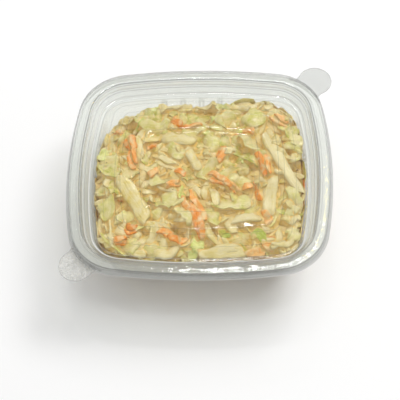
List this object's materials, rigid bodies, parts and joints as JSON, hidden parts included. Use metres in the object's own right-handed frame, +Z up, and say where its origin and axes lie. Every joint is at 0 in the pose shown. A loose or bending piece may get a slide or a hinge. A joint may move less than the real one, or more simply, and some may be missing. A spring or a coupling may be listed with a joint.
{
  "type": "tub of coleslaw",
  "caption": "Coleslaw in a clear rectangular deli tub with bowed sides, round corners and a press-on clear lid, shut, with a pull tab at two opposite corners.",
  "frame": {"origin": "centre of the tray's flat underside, under the middle of the rim", "axes": "+Z up, +X along the wider sides, -Y is the front; the lid's pull tab is at the +X +Y corner"},
  "size_m": [0.141, 0.1315, 0.041],
  "materials": {
    "tray_plastic": "clear thin thermoformed plastic, glossy",
    "lid_plastic": "clear thin thermoformed plastic, glossy",
    "slaw": "wet cabbage and carrot shreds in creamy dressing"
  },
  "bodies": {
    "root": {"tray": "tray_plastic", "lid": "lid_plastic", "coleslaw": "slaw"}
  },
  "joints": []
}
